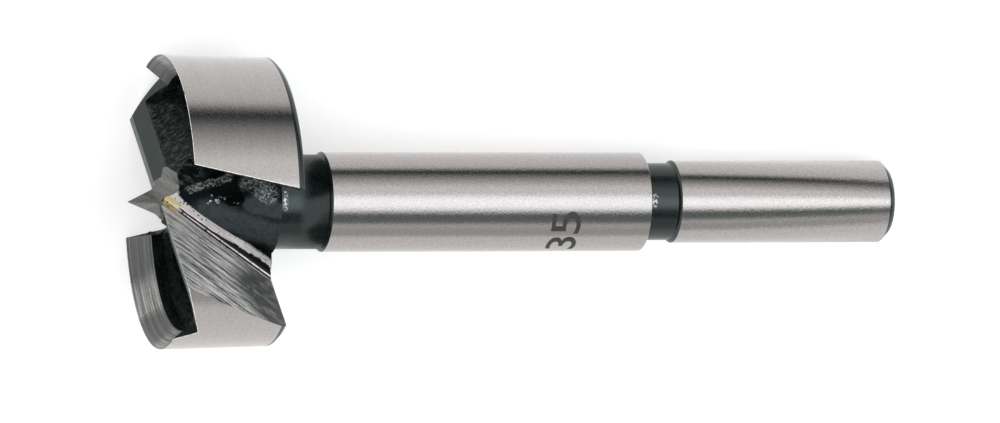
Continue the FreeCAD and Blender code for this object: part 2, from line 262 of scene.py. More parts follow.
def lathe_shank(bm):
    """Turns the neck, collar, groove and shank and joins them to the neck's open end."""
    outline = [
        (NECK_CUT + NECK_JOIN, NECK_RADIUS, "turned_black"),
        (COLLAR_START, NECK_RADIUS, "turned_black"),
        (COLLAR_START, COLLAR_RADIUS - SHOULDER_RISE, "turned_black"),
        (COLLAR_START + SHOULDER_LENGTH, COLLAR_RADIUS, "turned_black"),
        (COLLAR_END - COLLAR_ROUND, COLLAR_RADIUS, "collar"),
        (COLLAR_END, COLLAR_RADIUS - COLLAR_ROUND, "collar"),
        (COLLAR_END, GROOVE_RADIUS + GROOVE_CORNER, "turned_black"),
        (COLLAR_END + GROOVE_CORNER, GROOVE_RADIUS, "turned_black"),
        (GROOVE_END, GROOVE_RADIUS, "turned_black"),
        (GROOVE_END, SHANK_RADIUS - SHOULDER_RISE + SHOULDER_FOOT, "turned_black"),
        (GROOVE_END + SHOULDER_LENGTH, SHANK_RADIUS, "turned_black"),
        (SHANK_END - END_CHAMFER, SHANK_RADIUS, "collar"),
        (SHANK_END - END_ROUND, SHANK_RADIUS - END_CHAMFER + END_ROUND, "turned_black"),
        (SHANK_END, SHANK_RADIUS - END_CHAMFER, "turned_black"),
    ]
    last_ring = [edge for edge in bm.edges if edge.is_boundary]
    for x, radius, name in outline:
        ring = []
        for number in range(LATHE_SIDES):
            turn = 2 * math.pi * number / LATHE_SIDES
            ring.append(bm.verts.new((x, radius * math.cos(turn), radius * math.sin(turn))))
        edges = [bm.edges.new((ring[number], ring[number - 1])) for number in range(LATHE_SIDES)]
        made = bmesh.ops.bridge_loops(bm, edges=last_ring + edges)
        for face in made["faces"]:
            face.material_index = FINISH_NUMBER[name]
        last_ring = edges
    end_face = bm.faces.new(ring)
    end_face.material_index = FINISH_NUMBER["turned_black"]
    bmesh.ops.recalc_face_normals(bm, faces=bm.faces)


def break_edges(bm):
    """Breaks the ground edges; those beside the outside of the head get a near-white painted highlight."""
    sharp = []
    for edge in bm.edges:
        is_sharp = edge.is_manifold and edge.calc_face_angle(0) >= EDGE_TURN
        if not is_sharp or edge.verts[0].co.x > NECK_CUT:
            continue
        names = {FINISHES[face.material_index] for face in edge.link_faces}
        if names & GROUND_FINISHES and names not in SOFT_EDGES and "point" not in names:
            sharp.append(edge)
    bmesh.ops.bevel(
        bm, geom=sharp, offset=EDGE_WIDTH, offset_type="OFFSET", segments=2, profile=0.5, affect="EDGES",
        clamp_overlap=False, material=FINISH_NUMBER["edge"], loop_slide=False,
    )
    wall_faces = set(faces_of(bm, "wall"))
    for face in faces_of(bm, "edge"):
        if face.calc_center_median().x < NECK_CUT:
            around = {near for vert in face.verts for near in vert.link_faces}
            if not around & wall_faces:
                face.material_index = FINISH_NUMBER["dull_edge"]


def forge_skin(place):
    """How far the forged skin stands off the plain solid at a place, in millimetres."""
    lumps = noise.fractal(place * LUMP_SCALE, 0.9, 2.1, 3)
    cobbles = noise.noise(place * COBBLE_SCALE + COBBLE_SHIFT)
    radius = radius_of(place)
    near_rim = min(max((radius - ROUGHER_FROM) / ROUGHER_OVER, 0), 1)
    beside_strip = min(max(behind_lip(place) + CALM_REACH, 0), 1) if radius < CALM_RADIUS else 0
    height = LUMP_HEIGHT * lumps * (1 + near_rim) + COBBLE_HEIGHT * cobbles
    return height * (1 - CALM_SHARE * beside_strip)


def roughen_forging(bm):
    """Divides the forged faces finely and pushes them in and out, fading to nothing at the ground edges."""
    low = Vector((min(vert.co.x for vert in bm.verts), -RIM_RADIUS, -RIM_RADIUS))
    for axis, reach in ((0, HEAD_REAR), (1, RIM_RADIUS), (2, RIM_RADIUS)):
        normal = Vector([float(number == axis) for number in range(3)])
        cut = low[axis] + FORGED_GRID
        while cut < reach:
            cut_by_plane(bm, faces_of(bm, *ROUGH_FINISHES), normal * cut, normal)
            cut += FORGED_GRID
    rough = {FINISH_NUMBER[name] for name in ROUGH_FINISHES}
    bm.normal_update()
    border = []
    inside = []
    for vert in bm.verts:
        kinds = {face.material_index in rough for face in vert.link_faces}
        if kinds == {True}:
            inside.append(vert)
        elif True in kinds:
            border.append(vert.co.copy())
    tree = KDTree(len(border))
    for number, place in enumerate(border):
        tree.insert(place, number)
    tree.balance()
    moves = []
    for vert in inside:
        distance = tree.find(vert.co)[2]
        fade = min(1.0, distance / FORGED_FADE)
        moves.append((vert, vert.normal * forge_skin(vert.co) * fade * fade * (3 - 2 * fade)))
    for vert, move in moves:
        vert.co += move


def true_normals(mesh):
    """Shades the ground round faces as true rounds and the ground flat faces as true flats."""
    to_bit = bit_to_row.inverted()
    to_row = bit_to_row.to_3x3().normalized()
    normals = [Vector() for _ in mesh.loops]
    for face in mesh.polygons:
        name = FINISHES[face.material_index]
        for loop_number, vert_number in zip(face.loop_indices, face.vertices):
            if name in FLAT_FINISHES:
                normals[loop_number] = face.normal.copy()
            elif name in ROUND_NORMAL:
                lengthwise, outward = ROUND_NORMAL[name]
                place = to_bit @ mesh.vertices[vert_number].co
                radial = Vector((0, place.y, place.z)).normalized()
                true_normal = to_row @ (radial * outward + Vector((lengthwise, 0, 0)))
                normals[loop_number] = true_normal.normalized()
    mesh.normals_split_custom_set(normals)


def open_neck(bm):
    """Joins the solid's triangles into whole faces and cuts the shank off, for the lathe to turn."""
    bmesh.ops.remove_doubles(bm, verts=bm.verts, dist=1e-3)
    bmesh.ops.dissolve_limit(bm, angle_limit=FLAT_TURN, verts=bm.verts, edges=bm.edges)
    bmesh.ops.bisect_plane(
        bm, geom=whole(bm), plane_co=(NECK_CUT, 0, 0), plane_no=(1, 0, 0), clear_outer=True, dist=1e-5,
    )
    bm.normal_update()


def make_bit():
    """One closed mesh for the whole bit, in metres, with a finish number on every face."""
    node = frame["nodes"]["forstner_bit"]
    bm = bmesh.new()
    bm.from_mesh(node.data)
    bmesh.ops.transform(bm, matrix=bit_to_row.inverted(), verts=bm.verts)
    open_neck(bm)
    for face in bm.faces:
        face.material_index = FINISH_NUMBER[finish_of(face.calc_center_median(), face.normal)]
    for name in ROUND_RADIUS:
        round_out(bm, name)
    cut_by_plane(bm, faces_of(bm, "wall"), Vector((BLACK_BAND, 0, 0)), Vector((1, 0, 0)))
    for face in faces_of(bm, "wall"):
        if face.calc_center_median().x > BLACK_BAND:
            face.material_index = FINISH_NUMBER["turned_black"]
    lathe_shank(bm)
    break_edges(bm)
    roughen_forging(bm)
    bmesh.ops.transform(bm, matrix=bit_to_row, verts=bm.verts)
    for face in bm.faces:
        face.smooth = True
    mesh = bpy.data.meshes.new("bit_steel")
    bm.to_mesh(mesh)
    bm.free()
    mesh.set_sharp_from_angle(angle=CREASE_TURN)
    true_normals(mesh)
    piece = bpy.data.objects.new("bit_steel", mesh)
    bpy.context.scene.collection.objects.link(piece)
    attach(piece, "root")
    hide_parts("forstner_bit")
    return piece


class NodeBench:
    """Adds and joins shader nodes: an argument is a socket or a plain value."""

    def __init__(self, tree):
        self.tree = tree

    def put(self, socket, value):
        """Links a socket to this one, or sets this one's value."""
        if isinstance(value, bpy.types.NodeSocket):
            self.tree.links.new(value, socket)
        elif value is not None:
            socket.default_value = value

    def add(self, kind, inputs=(), **settings):
        """A node of this kind, with values for its inputs by name and its own settings."""
        node = self.tree.nodes.new(kind)
        for name, value in settings.items():
            setattr(node, name, value)
        for name, value in dict(inputs).items():
            self.put(node.inputs[name], value)
        return node

    def math(self, operation, first, second=None, third=None):
        """The result of one Math node."""
        node = self.add("ShaderNodeMath", operation=operation)
        for socket, value in zip(node.inputs, (first, second, third)):
            self.put(socket, value)
        return node.outputs[0]

    def times(self, first, *others):
        """All of these multiplied with one another."""
        for other in others:
            first = self.math("MULTIPLY", first, other)
        return first

    def share(self, first, second, part):
        """This part of the first value and the rest of the second."""
        return self.math("MULTIPLY_ADD", first, part, self.math("MULTIPLY", second, 1 - part))

    def vector(self, operation, first, second=None):
        """The result of one Vector Math node."""
        node = self.add("ShaderNodeVectorMath", operation=operation)
        self.put(node.inputs[0], first)
        if second is not None:
            self.put(node.inputs["Scale"] if operation == "SCALE" else node.inputs[1], second)
        return node.outputs["Value"] if operation in ("DOT_PRODUCT", "LENGTH") else node.outputs[0]

    def dot(self, first, second):
        """How far the first vector reaches along the second."""
        return self.vector("DOT_PRODUCT", first, second)

    def join(self, x, y, z=0.0):
        """A vector from its parts."""
        return self.add("ShaderNodeCombineXYZ", {"X": x, "Y": y, "Z": z}).outputs[0]

    def split(self, place):
        """A vector's parts, X, Y and Z."""
        return self.add("ShaderNodeSeparateXYZ", {"Vector": place}).outputs

    def noise(self, place, scale, detail=2.0, roughness=0.5):
        """A soft noise about a half."""
        node = self.add("ShaderNodeTexNoise", {
            "Vector": place, "Scale": scale, "Detail": detail, "Roughness": roughness,
        })
        return node.outputs["Fac"]

    def bend(self, place, scale, amount):
        """A place pushed about by a soft noise, so that what is drawn there comes out ragged."""
        push = self.add("ShaderNodeTexNoise", {"Vector": place, "Scale": scale}).outputs["Color"]
        return self.vector("ADD", place, self.vector("SCALE", push, amount))

    def cells(self, place, scale):
        """The distance to the nearest of many scattered points."""
        return self.add("ShaderNodeTexVoronoi", {"Vector": place, "Scale": scale}).outputs["Distance"]

    def step(self, value, start, end, low=0.0, high=1.0):
        """A smooth step from low to high between start and end."""
        node = self.add("ShaderNodeMapRange", {
            "Value": value, "From Min": start, "From Max": end, "To Min": low, "To Max": high,
        }, interpolation_type="SMOOTHSTEP")
        return node.outputs["Result"]

    def follow(self, texture, low, high):
        """A value between these two that follows the usual range of a noise."""
        return self.step(texture, 0.3, 0.7, low, high)

    def ramp(self, value, stops):
        """The colour at this place between stops of (position, colour)."""
        node = self.add("ShaderNodeValToRGB", {"Fac": value})
        elements = node.color_ramp.elements
        while len(elements) < len(stops):
            elements.new(0.5)
        for element, (position, colour) in zip(elements, stops):
            element.position = position
            element.color = (*colour, 1)
        return node.outputs["Color"]

    def mix(self, factor, first, second):
        """Two colours mixed, where a plain one is a triple or a grey level."""
        node = self.add("ShaderNodeMix", data_type="RGBA")
        inputs = {socket.identifier: socket for socket in node.inputs}
        self.put(inputs["Factor_Float"], factor)
        for name, colour in (("A_Color", first), ("B_Color", second)):
            if isinstance(colour, float):
                colour = (colour, colour, colour)
            if isinstance(colour, tuple):
                colour = (*colour, 1)
            self.put(inputs[name], colour)
        return next(socket for socket in node.outputs if socket.identifier == "Result_Color")

    def group(self, tree, **inputs):
        """An effect with its own values, and its outputs by name."""
        node = self.add("ShaderNodeGroup", node_tree=tree)
        for name, value in inputs.items():
            self.put(node.inputs[name], value)
        return node.outputs


def new_effect(name, inputs, outputs):
    """A node group with named inputs (name, kind, value) and outputs (name, kind)."""
    tree = bpy.data.node_groups.new(name, "ShaderNodeTree")
    for label, kind, value in inputs:
        socket = tree.interface.new_socket(label, in_out="INPUT", socket_type="NodeSocket" + kind)
        socket.default_value = value
    for label, kind in outputs:
        tree.interface.new_socket(label, in_out="OUTPUT", socket_type="NodeSocket" + kind)
    source = tree.nodes.new("NodeGroupInput")
    target = tree.nodes.new("NodeGroupOutput")
    return tree, NodeBench(tree), source.outputs, target.inputs


def bit_place_effect():
    """Places on the bit in its own millimetres, folded onto its first half, with radius and turn."""
    tree, bench, _, out = new_effect("bit_place", [], [
        ("Place", "Vector"), ("Folded", "Vector"), ("Radius", "Float"), ("Turn", "Float"),
    ])
    place = bench.add("ShaderNodeMapping", {
        "Vector": bench.add("ShaderNodeTexCoord").outputs["Object"],
        "Location": tip,
        "Rotation": bit_to_row.to_euler(),
        "Scale": (MM, MM, MM),
    }, vector_type="TEXTURE").outputs[0]
    x, y, z = bench.split(place)
    half = bench.math("SIGN", y)
    bench.put(out["Place"], place)
    bench.put(out["Folded"], bench.join(x, bench.times(y, half), bench.times(z, half)))
    bench.put(out["Radius"], bench.vector("LENGTH", bench.join(0.0, y, z)))
    bench.put(out["Turn"], bench.math("ARCTAN2", z, y))
    return tree


SLOW_ALONG = 0.07


def straight_grinding_effect(places):
    """Straight grinding lines: heights and shades that change fast across them and slowly along them."""
    tree, bench, given, out = new_effect("straight_grinding", [
        ("Across", "Vector", (1, 0, 0)), ("Along", "Vector", (0, 1, 0)),
        ("Coarse", "Float", 1.2), ("Fine", "Float", 6.0),
    ], [("Height", "Float"), ("Shade", "Float")])
    place = bench.group(places)["Folded"]
    across = bench.dot(place, given["Across"])
    forward = bench.times(bench.dot(place, given["Along"]), SLOW_ALONG)
    wander = bench.join(across, forward)
    coarse = bench.noise(wander, given["Coarse"], detail=3, roughness=0.65)
    fine = bench.noise(wander, given["Fine"], detail=4, roughness=0.7)
    bench.put(out["Height"], bench.share(coarse, fine, 0.6))
    bench.put(out["Shade"], bench.share(coarse, fine, 0.5))
    return tree


def round_grinding_effect(places):
    """Grinding or turning lines that run round the axis."""
    tree, bench, given, out = new_effect("round_grinding", [
        ("Coarse", "Float", 1.5), ("Fine", "Float", 8.0), ("Length", "Float", 1.0),
    ], [("Height", "Float"), ("Shade", "Float")])
    at = bench.group(places)
    lengthwise = bench.math("SUBTRACT", bench.split(at["Place"])["X"], at["Radius"])
    sweep = bench.times(bench.math("ABSOLUTE", at["Turn"]), given["Length"])
    wander = bench.join(lengthwise, sweep)
    coarse = bench.noise(wander, given["Coarse"], detail=3, roughness=0.6)
    fine = bench.noise(wander, given["Fine"], detail=3, roughness=0.7)
    lines = bench.share(coarse, fine, 0.5)
    bench.put(out["Height"], lines)
    bench.put(out["Shade"], lines)
    return tree


def speckle_effect(places):
    """Fine even speckle of a ground face."""
    tree, bench, given, out = new_effect("speckle", [("Grain", "Float", 5.0)], [("Fine", "Float")])
    place = bench.group(places)["Place"]
    bench.put(out["Fine"], bench.noise(place, given["Grain"], detail=3, roughness=0.75))
    return tree


def forge_effect(places):
    """Forged skin under oxide: pebbled height, mottled shade, and light worms, crossing or all one way."""
    tree, bench, _, out = new_effect("forge_skin", [], [
        ("Height", "Float"), ("Shade", "Float"), ("Worms", "Float"), ("Leather", "Float"),
    ])
    at = bench.group(places)
    place = at["Place"]
    bent = bench.bend(place, 1.3, 0.9)
    pebbles = bench.cells(bent, 2.2)
    grit = bench.noise(place, 5.5, detail=3, roughness=0.75)
    folds = bench.math("ABSOLUTE", bench.math("SUBTRACT", bench.noise(bent, 2.1, detail=1), 0.5))
    worms = bench.times(bench.step(folds, 0.085, 0.03), bench.step(grit, 0.36, 0.52))
    across = bench.math("MULTIPLY_ADD", bench.noise(place, 0.8), 0.9, bench.split(at["Folded"])["Y"])
    forward = bench.dot(at["Folded"], (0.2, 0.0, 0.21))
    creases = bench.noise(bench.join(across, forward), 3.0, detail=2, roughness=0.6)
    leather = bench.step(creases, 0.49, 0.57)
    height = bench.math("MULTIPLY_ADD", pebbles, -0.6, grit)
    height = bench.math("MULTIPLY_ADD", leather, 0.4, height)
    bench.put(out["Height"], bench.math("MULTIPLY_ADD", worms, 0.4, height))
    bench.put(out["Shade"], bench.noise(place, 1.6, detail=5, roughness=0.7))
    bench.put(out["Worms"], worms)
    bench.put(out["Leather"], leather)
    return tree


def near_line_effect(places):
    """One along a line on the bit, fading to nought at this width from it: it places real flakes and skin
    features, and painted shade, sheen and glints.
    """
    tree, bench, given, out = new_effect("near_line_mask", [
        ("Start", "Vector", (0, 0, 0)), ("Reach", "Vector", (1, 0, 0)), ("Width", "Float", 1.0),
    ], [("Mask", "Float")])
    offset = bench.vector("SUBTRACT", bench.group(places)["Folded"], given["Start"])
    length = bench.dot(given["Reach"], given["Reach"])
    share = bench.math("DIVIDE", bench.dot(offset, given["Reach"]), length)
    share = bench.math("MINIMUM", bench.math("MAXIMUM", share, 0.0), 1.0)
    on_line = bench.vector("SCALE", given["Reach"], share)
    away = bench.vector("LENGTH", bench.vector("SUBTRACT", offset, on_line))
    near = bench.math("SUBTRACT", 1.0, bench.math("DIVIDE", away, given["Width"]))
    bench.put(out["Mask"], bench.step(near, 0.0, 0.6))
    return tree


def spots_effect(places):
    """Small ragged dark spots: one where a spot is, and nought elsewhere."""
    tree, bench, given, out = new_effect("dark_spots", [
        ("Spacing", "Float", 1.0), ("Size", "Float", 0.2),
    ], [("Mask", "Float")])
    ragged = bench.bend(bench.group(places)["Place"], 3.0, 0.35)
    cells = bench.cells(ragged, bench.math("DIVIDE", 1.0, given["Spacing"]))
    bench.put(out["Mask"], bench.math("LESS_THAN", cells, given["Size"]))
    return tree


# millimetres along the gash where the straw tint ends, the black in its corner begins and its edge turns
# ragged
STRAW_END = (3.2, 1.6)
CORNER_DARK_START = (2.2, 2.8)
CORNER_DARK_WIDENS = (2.2, 9.0)
CORNER_DARK_FRAYS = (6.5, 14.0)
# where the painted glint runs as a bare line through the corner's black, from the strip's plane
GLINT_PLACE = 0.2


def gash_tint_and_reflection_effect(places):
    """Straw temper tint where the gash starts, and black along its corner further on: a painted dark
    reflection in the corner's radius with a painted glint down it, real black scale where its edge frays at
    the rear, and a painted shadow line where the gash starts.
    """
    tree, bench, _, out = new_effect("gash_tint_and_reflection", [], [("Straw", "Float"), ("Scale", "Float")])
    place = bench.group(places)["Folded"]
    offset = bench.vector("SUBTRACT", place, tuple(GASH_POINT))
    run = bench.dot(offset, tuple(GASH_LINE))
    away = bench.vector("LENGTH", bench.vector("CROSS_PRODUCT", offset, tuple(GASH_LINE)))
    wander = bench.noise(place, 1.7, detail=4, roughness=0.7)
    off_strip = bench.dot(offset, tuple(STRIP_NORMAL))
    off_glint = bench.math("ABSOLUTE", bench.math("SUBTRACT", off_strip, GLINT_PLACE))

    close_in = bench.step(away, 1.15, 0.7)
    patchy = bench.step(wander, 0.32, 0.6)
    beside_glint = bench.step(off_glint, 0.03, 0.12)
    bench.put(out["Straw"], bench.times(bench.step(run, *STRAW_END), close_in, patchy, beside_glint))

    # the black along the corner: a painted dark reflection in its radius, and real black scale where its
    # edge frays at the rear
    on_strip = bench.step(bench.dot(offset, tuple(RAKE_NORMAL)), 0.2, 0.4)
    width = bench.step(run, *CORNER_DARK_WIDENS, 0.48, 0.53)
    fraying = bench.step(run, *CORNER_DARK_FRAYS, 0.2, 1.5)
    frayed_width = bench.math("ADD", width, bench.step(run, *CORNER_DARK_FRAYS, 0.0, 0.45))
    ragged = bench.math("MULTIPLY_ADD", bench.math("SUBTRACT", wander, 0.42), fraying, frayed_width)
    edge = bench.math("MULTIPLY_ADD", on_strip, bench.math("SUBTRACT", ragged, width), width)
    scale = bench.step(bench.math("SUBTRACT", edge, away), 0.0, 0.06)
    glint = bench.times(bench.step(off_glint, 0.08, 0.045), bench.step(wander, 0.64, 0.56))
    scale = bench.times(scale, bench.math("SUBTRACT", 1.0, glint), bench.step(run, *CORNER_DARK_START))
    # a painted shadow line where the gash starts, behind the point's facet
    start_shadow = bench.times(bench.step(run, 0.4, 0.3), bench.step(away, 0.9, 0.6))
    bench.put(out["Scale"], bench.math("MAXIMUM", scale, start_shadow))
    return tree


def new_material(name):
    """A material, a bench to build what feeds its Principled shader, and the shader's inputs."""
    material = bpy.data.materials.new(name)
    material.use_nodes = True
    tree = material.node_tree
    return material, NodeBench(tree), tree.nodes["Principled BSDF"].inputs


def bump(bench, height, depth):
    """A Bump node whose height of one stands for this many millimetres."""
    return bench.add("ShaderNodeBump", {"Height": height, "Distance": depth * MM}).outputs[0]


places = bit_place_effect()
straight_grinding = straight_grinding_effect(places)
round_grinding = round_grinding_effect(places)
speckle = speckle_effect(places)
forging = forge_effect(places)
spots = spots_effect(places)
near_line = near_line_effect(places)
gash_tint_and_reflection = gash_tint_and_reflection_effect(places)

# colours of ground steel, each with what lies in its lines
STEEL = (0.515, 0.485, 0.468)
STEEL_LIGHT = (0.62, 0.59, 0.572)
STEEL_DARK = (0.22, 0.215, 0.21)
# the dark steel painted as shade on the ends of the bevel
SHADE_STEEL = (0.07, 0.076, 0.073)
BEVEL_DARK = (0.13, 0.138, 0.133)
BEVEL_LIGHT = (0.57, 0.57, 0.55)
RAKE_DARK = (0.06, 0.065, 0.063)
RAKE_LIGHT = (0.97, 0.97, 0.95)
# the painted shade on the rake's rear, where it meets the wall
RAKE_REAR_SHADE = (0.045, 0.052, 0.051)
STRIP_DARK = (0.66, 0.60, 0.605)
STRIP_LIGHT = (1.0, 0.955, 0.95)
POINT_DARK = (0.13, 0.135, 0.13)
POINT_LIGHT = (0.36, 0.36, 0.347)
LAND_DARK = (0.14, 0.14, 0.135)
LAND_LIGHT = (0.33, 0.325, 0.315)
# near-white painted highlight for the broken edges beside the outside of the head
EDGE_HIGHLIGHT = (1.0, 0.99, 0.98)
STRAW = (0.68, 0.52, 0.13)

# colours of the oxide, of its painted grey sheen, and of the bright metal of its painted glints
OXIDE = (0.0008, 0.0042, 0.0034)
OXIDE_GREY = (0.004, 0.009, 0.0085)
OXIDE_TINT = (0.85, 1.0, 0.98, 1)
TURNED_BLACK = (0.0005, 0.002, 0.0018)
SATIN_DARK = (0.004, 0.0105, 0.0095)
SATIN_LIGHT = (0.028, 0.039, 0.038)
LEATHER = (0.052, 0.068, 0.066)
SMOOTH_DARK = (0.03, 0.04, 0.043)
SMOOTH_LIGHT = (0.042, 0.054, 0.057)
SHEEN_GREY = (0.13, 0.15, 0.15)
GLINT_METAL = (0.75, 0.8, 0.8)
INK_DARK = (0.02, 0.022, 0.02)
INK_LIGHT = (0.05, 0.053, 0.05)

# lines on the first half, as start, reach and width: painted shade on the ends of the bevel, and on the
# rake's rear
BEVEL_PAINTED_SHADE = (
    ((4.5, 11.0, -13.0), (0.0, -2.6, -1.7), 5.5),
    ((5.0, 13.3, 9.8), (1.2, -0.2, -1.3), 4.0),
    ((4.7, 4.5, 16.5), (0.0, -0.9, 0.0), 5.0),
)
# how far the painted shade darkens the bevel
SHADE_SHARE = 0.7
RAKE_REAR = ((15.6, 10.5, 5.9), (1.2, 4.0, 0.7), 6.5)

# lines where the turned oxide flakes, and the features of the forged skin, among them the pit's beads,
# ridge and core that carry painted glints and sheen
GROOVE_FLAKES = ((64.0, 4.0, -2.5), (0.2, -0.5, -0.7), 0.6)
REAR_FLAKES = ((17.9, 3.9, -4.1), (0.0, 1.0, 1.4), 0.4)
BEAD_GLINTS = ((9.4, 2.4, -2.1), (3.7, 0.0, 0.5), 0.75)
RIDGE = ((7.3, 0.6, -2.5), (4.3, -0.3, -1.6), 0.9)
CORE = ((13.9, 1.5, -3.8), (2.0, 2.3, -0.2), 1.5)
LIP_BACK = ((6.0, 12.5, 3.6), (0.5, -12.0, 0.5), 3.4)
SMOOTH_SIDE = ((9.0, 3.4, -0.6), (9.0, 3.0, 1.2), 2.6)
SMOOTH_REAR = ((13.9, 4.2, -2.6), (3.4, 1.5, -0.2), 1.5)

# how far behind the lip's edge the flank is worn bare
LAND_END = 0.02
LAND_FADE = 0.04


def near_line_mask_of(bench, line):
    """The mask of one of the lines above."""
    start, reach, width = line
    return bench.group(near_line, Start=start, Reach=reach, Width=width)["Mask"]


def gash_lines(bench, normal, coarse, fine):
    """The lines that the gash's wheel left on a face with this normal."""
    across = tuple(normal.cross(GASH_LINE))
    return bench.group(straight_grinding, Across=across, Along=tuple(GASH_LINE), Coarse=coarse, Fine=fine)


def round_steel(name, lined, coarse, fine, length, depth, roughness, contrast,
                dark=STEEL, light=STEEL_LIGHT, shade_lines=()):
    """Steel ground in the round: the collar, the shank, the outside of the head and the rim's bevel,
    darkened with painted shade along any shade lines.
    """
    material, bench, shader = new_material(name)
    lines = bench.group(round_grinding, Coarse=coarse, Fine=fine, Length=length)
    grain = bench.group(speckle, Grain=4.5)["Fine"]
    shade = bench.step(bench.share(lines["Shade"], grain, lined), 0.5 - contrast, 0.5 + contrast)
    colour = bench.mix(shade, dark, light)
    # painted shade along each of these lines
    for line in shade_lines:
        colour = bench.mix(bench.times(near_line_mask_of(bench, line), SHADE_SHARE), colour, SHADE_STEEL)
    bench.put(shader["Base Color"], colour)
    bench.put(shader["Roughness"], bench.follow(grain, *roughness))
    height = bench.math("MULTIPLY_ADD", grain, 0.5, lines["Height"])
    bench.put(shader["Normal"], bump(bench, height, depth))
    shader["Metallic"].default_value = 1.0
    return material


def rake_steel():
    """The rake face and what the narrow wheel ground beside it: coarse straight lines."""
    material, bench, shader = new_material("rake_steel")
    lines = gash_lines(bench, RAKE_NORMAL, 1.8, 8.0)
    at_gash = bench.group(gash_tint_and_reflection)
    black_spots = bench.group(spots, Spacing=1.7, Size=0.1)["Mask"]
    colour = bench.mix(bench.step(lines["Shade"], 0.42, 0.58), RAKE_DARK, RAKE_LIGHT)
    cloudy = bench.step(bench.group(speckle, Grain=0.8)["Fine"], 0.3, 0.6, 0.7, 0.95)
    # painted shade: the rake darker towards its rear, where it meets the wall
    colour = bench.mix(bench.times(near_line_mask_of(bench, RAKE_REAR), cloudy), colour, RAKE_REAR_SHADE)
    colour = bench.mix(at_gash["Straw"], colour, STRAW)
    # the corner's black, a painted dark reflection with real scale at its rear, and real black pits
    dark = bench.math("MAXIMUM", at_gash["Scale"], black_spots)
    bench.put(shader["Base Color"], bench.mix(dark, colour, OXIDE))
    bench.put(shader["Metallic"], bench.math("MULTIPLY_ADD", dark, -0.35, 0.35))
    shader["Specular IOR Level"].default_value = 0.2
    bench.put(shader["Roughness"], bench.follow(lines["Shade"], 0.30, 0.48))
    bench.put(shader["Normal"], bump(bench, lines["Height"], 0.03))
    return material


def strip_steel():
    """The bright strip beside the gash, with black pits left from forging."""
    material, bench, shader = new_material("strip_steel")
    lines = gash_lines(bench, STRIP_NORMAL, 1.5, 6.0)
    at_gash = bench.group(gash_tint_and_reflection)
    pits = bench.group(spots, Spacing=0.55, Size=0.2)["Mask"]
    colour = bench.mix(bench.step(lines["Shade"], 0.35, 0.65), STRIP_DARK, STRIP_LIGHT)
    colour = bench.mix(at_gash["Straw"], colour, STRAW)
    clean = bench.math("SUBTRACT", 1.0, at_gash["Straw"])
    # the corner's black, a painted dark reflection with real scale at its rear, and real black pits
    dark = bench.math("MAXIMUM", at_gash["Scale"], bench.times(pits, clean))
    bench.put(shader["Base Color"], bench.mix(dark, colour, OXIDE))
    bench.put(shader["Metallic"], bench.math("MULTIPLY_ADD", dark, -0.6, 0.6))
    shader["Specular IOR Level"].default_value = 0.2
    bench.put(shader["Roughness"], bench.follow(lines["Shade"], 0.28, 0.4))
    bench.put(shader["Normal"], bump(bench, bench.math("SUBTRACT", lines["Height"], pits), 0.03))
    return material


def point_steel():
    """The point's facets: dull grey with lines left by a finer wheel."""
    material, bench, shader = new_material("point_steel")
    lines = bench.group(
        straight_grinding, Across=(0.3, 0.3, 0.9), Along=(0.3, 0.9, -0.3), Coarse=1.6, Fine=7.0,
    )
    grain = bench.group(speckle, Grain=6.0)["Fine"]
    shade = bench.share(lines["Shade"], grain, 0.6)
    bench.put(shader["Base Color"], bench.mix(bench.step(shade, 0.35, 0.65), POINT_DARK, POINT_LIGHT))
    bench.put(shader["Roughness"], bench.follow(grain, 0.35, 0.5))
    bench.put(shader["Normal"], bump(bench, shade, 0.02))
    shader["Metallic"].default_value = 1.0
    return material


def edge_steel(name, dark, light, metallic):
    """Broken edges, where the oxide and the grinding both give way to bare steel; given a near-white
    colour, they carry a painted highlight.
    """
    material, bench, shader = new_material(name)
    grain = bench.group(speckle, Grain=3.0)["Fine"]
    bench.put(shader["Base Color"], bench.mix(bench.step(grain, 0.4, 0.55), dark, light))
    bench.put(shader["Roughness"], bench.follow(grain, 0.35, 0.55))
    shader["Metallic"].default_value = metallic
    return material


def satin_oxide():
    """Black oxide over a ground face: the lips' flanks, worn bare along the cutting edge."""
    material, bench, shader = new_material("satin_oxide")
    lines = bench.group(
        straight_grinding, Across=(0.0, 0.85, -0.5), Along=(0.3, 0.5, 0.85), Coarse=1.6, Fine=6.0,
    )
    grain = bench.group(speckle, Grain=6.0)["Fine"]
    shade = bench.share(lines["Shade"], grain, 0.5)
    from_edge = bench.split(bench.group(places)["Folded"])["Z"]
    land = bench.step(from_edge, LAND_END + LAND_FADE, LAND_END - LAND_FADE)
    oxide = bench.mix(bench.step(shade, 0.4, 0.6), SATIN_DARK, SATIN_LIGHT)
    bare = bench.mix(bench.step(shade, 0.35, 0.65), LAND_DARK, LAND_LIGHT)
    bench.put(shader["Base Color"], bench.mix(land, oxide, bare))
    bench.put(shader["Metallic"], land)
    shader["Specular IOR Level"].default_value = 0.25
    shader["Specular Tint"].default_value = OXIDE_TINT
    bench.put(shader["Roughness"], bench.follow(grain, 0.38, 0.5))
    bench.put(shader["Normal"], bump(bench, shade, 0.015))
    return material


